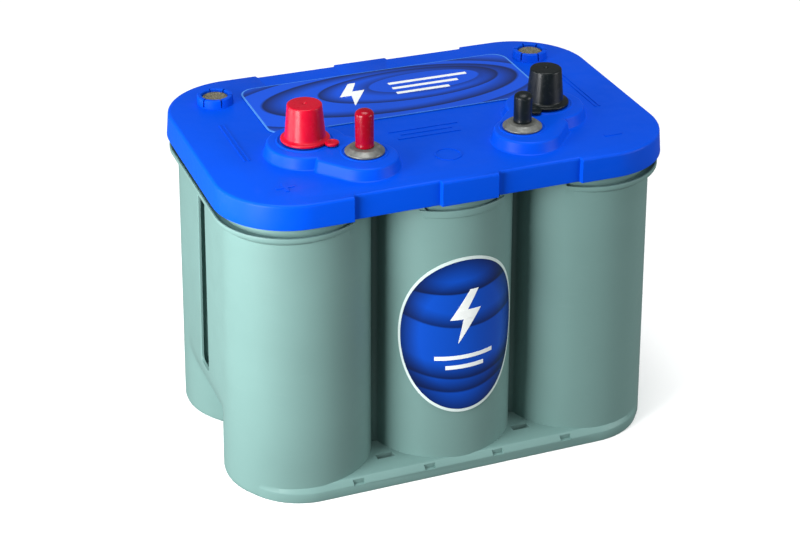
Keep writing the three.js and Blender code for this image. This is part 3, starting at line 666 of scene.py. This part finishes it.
def build_case():
    case = case_wall()
    combine(case, [ledge(-1), ledge(1)])
    combine(case, [end_slot(-1), end_slot(1), pocket_zones("pockets", 0, GUTTER_Z)], "DIFFERENCE")
    edge = [(0.0, LIP_TOP_Z - 0.4), (0.12, LIP_TOP_Z - 0.12), (0.4, LIP_TOP_Z)]
    middle = [(0.5, LIP_BOTTOM_Z), (0.1, LIP_BOTTOM_Z + 0.4), (0.0, LIP_BOTTOM_Z + 0.9), *edge]
    end = [(LIP_FLARE, LIP_FLARE_Z), (0.35, LIP_UPRIGHT_Z - 0.5), (0.08, LIP_UPRIGHT_Z), *edge]
    lip = combine(lip_body(0, middle, end), [pocket_zones("zones", 1, LIP_FLARE_Z - 1)], "INTERSECT")
    combine(case, [lip])
    straight = [(0, GUTTER_FLOOR_Z), (0, LIP_TOP_Z + 1)]
    gutter = lip_body(LIP_WIDTH, straight, straight)
    gutter = combine(gutter, [pocket_zones("zones", 0, GUTTER_Z - 0.5)], "INTERSECT")
    combine(case, [gutter], "DIFFERENCE")
    combine(case, [prism("neck", neck_outline(), LIP_BOTTOM_Z - 4, NECK_TOP_Z)])
    bores = [prism("bore", circle(x, y, BORE_RADIUS, 72), BORE_FLOOR, NECK_TOP_Z + 1)
             for x in (-PITCH, 0, PITCH) for y in (-ROW_Y, ROW_Y)]
    combine(case, bores, "DIFFERENCE")
    smooth(case, 32)
    return settle(case, BATTERY, "case", "case")


def neck_outline():
    """The neck's plan: six smaller cells joined by a wide core."""
    meet = math.degrees(math.asin((CELL_INNER - ROW_Y) / NECK_RADIUS))
    quarter = arc(0, -ROW_Y, NECK_RADIUS, -90, -meet, 20)
    quarter += arc(PITCH, -ROW_Y, NECK_RADIUS, 180 + meet, 360, 40)
    return four_quarters(quarter)


# ---------------------------------------------------------------- lid
def lid_outline(half_length, half_width, corner):
    """The lid's plan: the long sides step in between RECESS_END and RECESS_START."""
    step = 0.7
    points = arc(half_length - corner, half_width - corner, corner, 0, 90, 26)
    for stop, before, after in ((RECESS_END, 0, LID_RECESS), (RECESS_START, LID_RECESS, 0),
                                (-RECESS_START, 0, LID_RECESS), (-RECESS_END, LID_RECESS, 0)):
        points += [(stop, half_width - before), (stop - step, half_width - after)]
    points += arc(-half_length + corner, half_width - corner, corner, 90, 180, 26)
    return points + [(-x, -y) for x, y in points]


def pad_distance(x, y):
    """Signed distance to the plan of a terminal pad on the positive x side, in millimetres."""
    lobes = [math.hypot(x - cx, y - cy) - radius for cx, cy, radius in PAD_LOBES]
    block = -math.inf
    for (ax, ay), (bx, by) in zip(PAD_BLOCK, PAD_BLOCK[1:] + PAD_BLOCK[:1]):
        length = math.hypot(bx - ax, by - ay)
        block = max(block, ((x - ax) * (ay - by) + (y - ay) * (bx - ax)) / -length)
    return min(*lobes, block)


def pad_outline(side, grow):
    """The pad's plan grown by a distance, found by halving along rays from between its two lobes."""
    steps, halvings, reach = 300, 24, 60.0
    cx, cy = (POST_X + STUD_X) / 2, (POST_Y + STUD_Y) / 2
    points = []
    for i in range(steps):
        a = 2 * math.pi * i / steps
        low, high = 0.0, reach
        for _ in range(halvings):
            middle = (low + high) / 2
            inside = pad_distance(cx + middle * math.cos(a), cy + middle * math.sin(a)) < grow
            low, high = (middle, high) if inside else (low, middle)
        points.append((side * (cx + low * math.cos(a)), cy + low * math.sin(a)))
    return points


def terminal_pad(side):
    """A raised pad: its foot flares into the lid and its top edge is rounded."""
    foot = [(2.6, -0.6), (2.2, 0.02), (1.6, 0.35), (1.25, 1.0)]
    edge = [(0.3, 1.5), (0.1, 0.9), (-0.25, 0.4), (-0.7, 0.12), (-1.3, 0.0)]
    profile = [(grow, LID_TOP_Z + rise) for grow, rise in foot]
    profile += [(grow, PAD_TOP_Z - drop) for grow, drop in edge]
    return loft("pad", [(pad_outline(side, grow), z) for grow, z in profile], ("lid",))


def ridge(x, y, inner, outer, height):
    """A raised ring on a pad."""
    root, foot, top = PAD_TOP_Z - 0.3, PAD_TOP_Z, PAD_TOP_Z + height
    middle, half_crest = (inner + outer) / 2, 0.3
    profile = [(inner, root), (inner, foot), (middle - half_crest, top), (middle + half_crest, top),
               (outer, foot), (outer, root)]
    return turned("ridge", x, y, profile, ("lid",))


def directions(angle):
    """The unit vector at an angle in radians, and the one square to it."""
    return Vector((math.cos(angle), math.sin(angle))), Vector((-math.sin(angle), math.cos(angle)))


def vent_ring(side):
    """The ring round a vent disc, cut by three slits across it."""
    x, y = side * VENT_X, VENT_Y
    wall = VENT_DISC + 0.3
    foot, soft = LID_TOP_Z - 1, 0.4
    profile = [(wall, foot), (VENT_RING + soft, foot), (VENT_RING + 0.3, LID_TOP_Z + soft),
               (VENT_RING, VENT_TOP_Z - soft), (VENT_RING - soft, VENT_TOP_Z),
               (wall + soft, VENT_TOP_Z), (wall, VENT_TOP_Z - soft)]
    ring = turned("vent_ring", x, y, profile, ("lid",))
    past_ring, half_width, slit_floor = 15, 0.45, LID_TOP_Z + 0.6
    corner_signs = ((-1, -1), (1, -1), (1, 1), (-1, 1))
    slits = []
    for i in range(3):
        along, across = directions((i + 0.6) * math.pi / 3)
        corners = [along * s * past_ring + across * t * half_width for s, t in corner_signs]
        plan = [(x + corner.x, y + corner.y) for corner in corners]
        slits.append(prism("slit", plan, slit_floor, VENT_TOP_Z + 1, ("lid",)))
    return combine(ring, slits, "DIFFERENCE")


def lid_marks():
    """Faint moulded marks: guide ribs near each end, polarity signs, and plain bars and a ring on the top."""
    foot, top = LID_TOP_Z - 1, LID_TOP_Z + 0.35
    width = 0.8
    ribs = [(*sorted((side * x, side * (x + width))), -25, 24) for x in (100.4, 102.8) for side in (-1, 1)]
    plus, minus = [(-98, -88, -63, -61), (-94, -92, -67, -57)], [(88, 98, -63, -61)]
    bars = [(-reach, reach, -18 - 5 * i, -16.8 - 5 * i) for i, reach in enumerate((20, 15, 18))]
    marks = [box("mark", *plan, foot, top, ("lid",)) for plan in ribs + plus + minus + bars]
    marks.append(turned("mark_ring", 0, -54, [(6.4, foot), (7.4, foot), (7.4, top), (6.4, top)], ("lid",)))
    return marks


def lid_level(inset, z):
    """The lid's plan at a height: its ends lean in, and its sides stand back a little above the rim."""
    lean = LID_DRAFT * (z - LID_RIM_Z) / (LID_TOP_Z - LID_RIM_Z)
    set_back = 0.2 * (z > LID_RIM_Z + 1)
    half_length, half_width = LID_HALF_LENGTH - lean - inset, LID_HALF_WIDTH - set_back - inset
    return lid_outline(half_length, half_width, LID_CORNER - inset), z


def build_lid():
    edge = 1.7
    rim = ((0.4, 0), (0.05, 0.35), (0, 0.9), (0, 4))
    levels = [lid_level(inset, LID_RIM_Z + rise) for inset, rise in rim]
    levels.append(lid_level(0, LID_TOP_Z - edge))
    for degrees in (18, 36, 54, 72, 90):
        a = math.radians(degrees)
        levels.append(lid_level(edge * (1 - math.cos(a)), LID_TOP_Z - edge + edge * math.sin(a)))
    lid = loft("lid_moulding", levels, ("lid",))
    inner_length, inner_width = LID_HALF_LENGTH - LID_WALL, LID_HALF_WIDTH - LID_RECESS - LID_WALL
    cavity = rounded_rectangle(inner_length, inner_width, LID_CORNER - 4, 20)
    combine(lid, [prism("cavity", cavity, LID_RIM_Z - 1, LID_CEILING_Z, ("lid",))], "DIFFERENCE")
    combine(lid, [terminal_pad(-1), terminal_pad(1), vent_ring(-1), vent_ring(1), *lid_marks()])
    for side in (-1, 1):
        combine(lid, [ridge(side * POST_X, POST_Y, *POST_RIDGE), ridge(side * STUD_X, STUD_Y, *STUD_RIDGE)])
        plans = [(POST_X, POST_Y, POST_HOLE), (STUD_X, STUD_Y, STUD_HOLE), (VENT_X, VENT_Y, VENT_HOLE)]
        holes = [prism("hole", circle(side * x, y, radius, 64), LID_CEILING_Z - 1, PAD_TOP_Z + 1, ("lid",))
                 for x, y, radius in plans]
        combine(lid, holes, "DIFFERENCE")
    smooth(lid, 30)
    return settle(lid, BATTERY, "lid", "lid")


# ---------------------------------------------------------------- terminals
def build_post(name, side, top_radius):
    """A tapered post on a narrower shank that reaches down to its bus bar."""
    foot = top_radius + (POST_TOP_Z - SHOULDER_Z) / POST_TAPER
    shaft = rounded([(POST_SHANK, SHANK_FOOT_Z), (POST_SHANK, SHOULDER_Z), (foot, SHOULDER_Z),
                     (top_radius, POST_TOP_Z), (0, POST_TOP_Z)], 0.6)
    obj = turned(name + "_post_casting", side * POST_X, POST_Y, [(0, SHANK_FOOT_Z)] + shaft, ("lead",))
    settle(obj, BATTERY, "lead", name + "_post")


def build_stud_base(name, side):
    """A lead collar on a shank, with a socket for the stud."""
    bore = STUD_RADIUS + 0.3
    outside = rounded([(STUD_SHANK, SHANK_FOOT_Z), (STUD_SHANK, SHOULDER_Z), (STUD_BASE_FOOT, SHOULDER_Z),
                       (STUD_BASE_FOOT, SHOULDER_Z + 0.9), (STUD_BASE_SEAT, SEAT_Z), (bore, SEAT_Z)], 0.35)
    profile = [(0, SHANK_FOOT_Z)] + outside + [(bore, STUD_SOCKET_Z), (0, STUD_SOCKET_Z)]
    obj = turned(name + "_stud_collar", side * STUD_X, STUD_Y, profile, ("lead",))
    settle(obj, BATTERY, "lead", name + "_stud_base")


def build_stud(name, side):
    """A threaded stud: one helical ridge, fading out at the chamfered tip."""
    segments, rows_per_turn = 48, 10
    bottom, top, chamfer = STUD_SOCKET_Z + 0.3, STUD_TOP_Z, 1.1
    rows = round((top - bottom) / THREAD_PITCH * rows_per_turn)
    x, y = side * STUD_X, STUD_Y
    verts = [(x, y, bottom)]
    for row in range(rows + 1):
        z = bottom + (top - bottom) * row / rows
        for i in range(segments):
            a = 2 * math.pi * i / segments
            phase = (z / THREAD_PITCH - i / segments) % 1
            depth = THREAD_DEPTH * (1 - abs(2 * phase - 1))
            radius = min(STUD_RADIUS - depth, STUD_RADIUS - chamfer + (top - z))
            verts.append((x + radius * math.cos(a), y + radius * math.sin(a), z))
    verts.append((x, y, top))
    last = len(verts) - 1
    faces = [(0, 1 + (i + 1) % segments, 1 + i) for i in range(segments)]
    for row in range(rows):
        low = 1 + row * segments
        for i in range(segments):
            j = (i + 1) % segments
            faces.append((low + i, low + j, low + segments + j, low + segments + i))
    low = 1 + rows * segments
    faces += [(low + i, low + (i + 1) % segments, last) for i in range(segments)]
    obj = make_object(name + "_stud_thread", verts, faces, ("steel",), sharp=60)
    settle(obj, BATTERY, "steel", name + "_stud")


def pull_tab(x, y, angle, foot, vinyl):
    """A strip from a cap's flange to a dimpled round lobe, at TAB_REACH from the cap's middle."""
    along, across = directions(angle)
    ends = ((12, -2.6), (TAB_REACH - 1, -1.8), (TAB_REACH - 1, 1.8), (12, 2.6))
    strip = [Vector((x, y)) + along * reach + across * half_width for reach, half_width in ends]
    rim = rounded([(3.6, foot), (TAB_LOBE, foot + 0.3), (TAB_LOBE, foot + 1.3), (2.4, foot + 1.6)], 0.3)
    dimple = [(1.6, foot + 1.2), (0, foot + 1.2)]
    lobe_x, lobe_y = x + TAB_REACH * math.cos(angle), y + TAB_REACH * math.sin(angle)
    return [prism("strip", [(p.x, p.y) for p in strip], foot, foot + 1.4, (vinyl,)),
            turned("lobe", lobe_x, lobe_y, [(0, foot), *rim, *dimple], (vinyl,), 48)]


def build_cap(color, side, tip):
    """A soft tapered cap with a flange, a dimple on top and a pull tab that points to the stud."""
    x, y, foot, top = side * POST_X, POST_Y, CAP_FOOT_Z, CAP_TOP_Z
    base, dimple_floor, bore_top = tip + CAP_TAPER, top - 0.6, top - 2
    flange = [(base - CAP_WALL, foot), (CAP_FLANGE, foot), (CAP_FLANGE, foot + 1.3), (base, foot + 1.9)]
    dimple = [(1.5, top), (1.0, dimple_floor), (0, dimple_floor)]
    outside = rounded([*flange, (tip, top), *dimple], 0.9, 5)
    vinyl = color + "_vinyl"
    bore = [(0, bore_top), (tip - CAP_WALL, bore_top)]
    cap = turned(color + "_cap_vinyl", x, y, bore + outside, (vinyl,))
    to_stud = math.atan2(STUD_Y - POST_Y, side * (STUD_X - POST_X))
    combine(cap, pull_tab(x, y, to_stud, foot, vinyl))
    smooth(cap, 35)
    settle(cap, color + "_post_cap", vinyl, color + "_post_cap")


def build_sleeve(color, side, length):
    """A dipped sleeve over a stud, with a round end and a slight bead at its foot."""
    foot = SEAT_Z + 0.3
    top = foot + length
    inner, end_wall, shoulder = STUD_RADIUS + 0.3, 1.1, 3.2
    dome = [(SLEEVE_RADIUS * math.cos(a), top - SLEEVE_DOME + SLEEVE_DOME * math.sin(a))
            for a in np.radians(np.linspace(0, 80, 9))]
    bead = [(4.9, foot), (SLEEVE_RADIUS, foot + 0.3), (SLEEVE_RADIUS, foot + 1.0), (4.85, foot + 1.5),
            (4.9, foot + 3)]
    profile = [(0, top - end_wall), (inner, top - shoulder), (inner, foot), *bead, *dome, (0, top)]
    vinyl = color + "_vinyl"
    # The red sleeve takes the darker copy of the red vinyl, whose darkness is painted shade.
    material = "red_sleeve" if color == "red" else vinyl
    obj = turned(color + "_sleeve_vinyl", side * STUD_X, STUD_Y, profile, (material,), 64)
    settle(obj, color + "_stud_cover", vinyl, color + "_stud_cover")


def build_vent_disc(name, side):
    """A disc with a rounded edge and a slightly dished top."""
    foot = LID_TOP_Z + 0.3
    top = foot + 3.4
    edge = [(VENT_DISC, top - 0.5), (VENT_DISC - 0.5, top - 0.1), (VENT_DISC - 1.2, top)]
    profile = [(0, foot), (VENT_DISC, foot), *edge, (4, top - 0.15), (0, top - 0.2)]
    obj = turned(name + "_grains", side * VENT_X, VENT_Y, profile, ("porous",), 64)
    settle(obj, BATTERY, "porous", name)


# ---------------------------------------------------------------- labels
def film(name, outline, place, materials, border):
    """A thin closed film: rings of points shrink from its outline to its centre.

    place puts a point on the object, and the border, a share of the size, has the second material."""
    count, rings = len(outline), 26
    shares = [1.0, 1 - border] + [(1 - border) * (1 - (i + 1) / rings) for i in range(rings - 1)]
    verts, faces, marks = [], [], []
    for layer in (1, 0):
        for share in shares:
            verts += [place(u * share, v * share, layer) for u, v in outline]
        verts.append(place(0, 0, layer))
    size = len(shares) * count + 1
    for layer in (0, 1):
        start = layer * size
        for ring in range(len(shares) - 1):
            for i in range(count):
                j = (i + 1) % count
                a, b = start + ring * count, start + (ring + 1) * count
                faces.append((a + i, a + j, b + j, b + i))
                marks.append(1 if ring == 0 else 0)
        a = start + (len(shares) - 1) * count
        for i in range(count):
            faces.append((a + i, a + (i + 1) % count, start + size - 1))
            marks.append(0)
    for i in range(count):
        j = (i + 1) % count
        faces.append((i, size + i, size + j, j))
        marks.append(1)
    return make_object(name, verts, faces, materials, marks, sharp=50)


def lid_place(u, v, layer):
    """u runs along the lid and v across it, from the label's centre; layer 0 is the film's underside."""
    return (LID_LABEL_X + u, LID_LABEL_Y + v, LID_TOP_Z + FILM_GAP + FILM_THICKNESS * layer)


def front_place(u, v, layer):
    """u runs round the middle cell's front and v runs up it, both in millimetres from the oval's centre."""
    z = FRONT_LABEL_Z + v
    radius = cell_radius(z) + FILM_GAP + FILM_THICKNESS * layer
    angle = u / cell_radius(FRONT_LABEL_Z)
    return (radius * math.sin(angle), -ROW_Y - radius * math.cos(angle), z)


def print_on(name, rows, place, ink):
    """A plain printed shape, 0.1 mm proud of a label; rows are (v, left u, right u), from the top down."""
    columns, proud, sunk = 16, 1.25, 0.9  # the layers are in thicknesses of the film
    verts, faces = [], []
    for layer in (proud, sunk):
        for v, left, right in rows:
            verts += [place(u, v, layer) for u in np.linspace(left, right, columns)]
    size = len(rows) * columns
    for row in range(len(rows) - 1):
        for i in range(columns - 1):
            a, b = row * columns + i, (row + 1) * columns + i
            faces += [(a, b, b + 1, a + 1), (a + size, a + 1 + size, b + 1 + size, b + size)]
    rim = [*range(columns), *range(2 * columns - 1, size, columns), *range(size - 2, size - columns - 1, -1),
           *range(size - 2 * columns, 0, -columns)]
    faces += [(a, b, b + size, a + size) for a, b in zip(rim, rim[1:] + rim[:1])]
    obj = make_object(name, verts, faces, (ink,), sharp=50)
    settle(obj, BATTERY, "label_film")


def flash_rows(u, v, size):
    """A plain lightning flash; each side is a line of (height, across) points, for a flash 2 high."""
    left = ((1.0, 0.15), (-0.10, -0.55), (-0.101, -0.08), (-1.0, -0.26))
    right = ((1.0, 0.45), (0.251, 0.06), (0.25, 0.55), (-1.0, -0.24))
    corners = {height for height, _ in left + right}
    heights = sorted({*np.linspace(1, -1, 29).tolist(), *corners}, reverse=True)

    def edge(points, height):
        downward = [-h for h, _ in points]
        return float(np.interp(-height, downward, [x for _, x in points]))
    return [(v + h * size, u + edge(left, h) * size, u + edge(right, h) * size) for h in heights]


def bar_rows(u, v, half_length, half_height):
    return [(v + h, u - half_length, u + half_length) for h in np.linspace(half_height, -half_height, 4)]


def build_labels():
    outline = rounded_rectangle(*LID_LABEL_HALF_SIZE, LID_LABEL_CORNER, 12)
    lid_label = film("lid_label_film", outline, lid_place, ("lid_film", "pale_edge"), 0.012)
    settle(lid_label, BATTERY, "label_film", "lid_label")
    print_on("lid_flash", flash_rows(-22, 4, 15), lid_place, "white_ink")
    for i, reach in enumerate((24, 20, 16)):
        print_on(f"lid_bar_{i + 1}", bar_rows(2 + reach, 11 - 7 * i, reach, 1.4), lid_place, "white_ink")
    across = cell_radius(FRONT_LABEL_Z) * math.radians(FRONT_LABEL_HALF_ANGLE)
    turns = np.linspace(0, 2 * math.pi, 129)[:-1]
    oval = [(across * math.cos(a), FRONT_LABEL_HALF_HEIGHT * math.sin(a)) for a in turns]
    front_label = film("front_label_film", oval, front_place, ("front_film", "pale_rim"), 0.037)
    settle(front_label, BATTERY, "label_film", "front_label")
    print_on("front_flash", flash_rows(0, 12, 16), front_place, "white_ink")
    for i, reach in enumerate((17, 11)):
        print_on(f"front_bar_{i + 1}", bar_rows(0, -13 - 6 * i, reach, 1.2), front_place, "white_ink")


# ---------------------------------------------------------------- carried-over CAD nodes
def finish_cad_nodes():
    """Every CAD node that stays gets the procedural material of its slot."""
    slots = {row["node"]: row["material_slot"] for row in frame["record"]["subparts"]}
    for node, obj in frame["nodes"].items():
        key = slots[node]
        if key in MATERIALS:
            obj.data.materials.clear()
            obj.data.materials.append(MATERIALS[key])


# ---------------------------------------------------------------- stage and light
def make_stage():
    n = Nodes("floor_paint", 0.9)
    n.color(n.ramp(n.noise(3, 2), [(0.3, linear(246, 247, 247)), (0.7, linear(250, 250, 250))]))
    reach = 6.0
    mesh = bpy.data.meshes.new("floor")
    corners = [(-reach, -reach, 0), (reach, -reach, 0), (reach, reach, 0), (-reach, reach, 0)]
    mesh.from_pydata(corners, [], [(0, 1, 2, 3)])
    mesh.materials.append(n.material)
    floor = bpy.data.objects.new("floor", mesh)
    floor.visible_diffuse = False
    floor.visible_glossy = False
    bpy.context.scene.collection.objects.link(floor)


def aim(obj, place, target):
    obj.location = place
    obj.rotation_euler = (Vector(target) - Vector(place)).to_track_quat("-Z", "Y").to_euler()
    bpy.context.scene.collection.objects.link(obj)


def softbox(name, place, size, watts, target=(0, 0, 0.1)):
    data = bpy.data.lights.new(name, "AREA")
    data.shape = "RECTANGLE"
    data.size, data.size_y = size
    data.energy = watts
    obj = bpy.data.objects.new(name, data)
    obj.visible_camera = False
    aim(obj, place, target)


def make_light():
    world = bpy.data.worlds.new("studio")
    world.use_nodes = True
    background = world.node_tree.nodes["Background"]
    background.inputs["Color"].default_value = (1, 1, 1, 1)
    background.inputs["Strength"].default_value = 0.2
    bpy.context.scene.world = world
    overhead = bpy.data.lights.new("overhead", "SUN")
    overhead.energy = 2.45
    overhead.angle = math.radians(40)
    aim(bpy.data.objects.new("overhead", overhead), (0, 0, 2), (0, 0, 0))
    softbox("key", (-0.50, -0.26, 0.24), (0.26, 0.36), 5.4, (-0.05, -0.04, 0.11))
    softbox("fill", (0.75, -0.55, 0.35), (0.5, 0.5), 4.4)
    softbox("side", (-0.75, 0.18, 0.16), (0.5, 0.3), 3.2, (-0.12, 0, 0.08))
    bpy.context.scene.view_settings.view_transform = "Standard"


# ---------------------------------------------------------------- assembly
make_camera()
make_stage()
make_light()
finish_cad_nodes()
build_case()
build_lid()
for terminal, shell, sign, post_radius, cap_tip, sleeve_length in TERMINALS:
    build_post(terminal, sign, post_radius)
    build_stud_base(terminal, sign)
    build_stud(terminal, sign)
    build_cap(shell, sign, cap_tip)
    build_sleeve(shell, sign, sleeve_length)
build_vent_disc("vent_disc_left", -1)
build_vent_disc("vent_disc_right", 1)
build_labels()
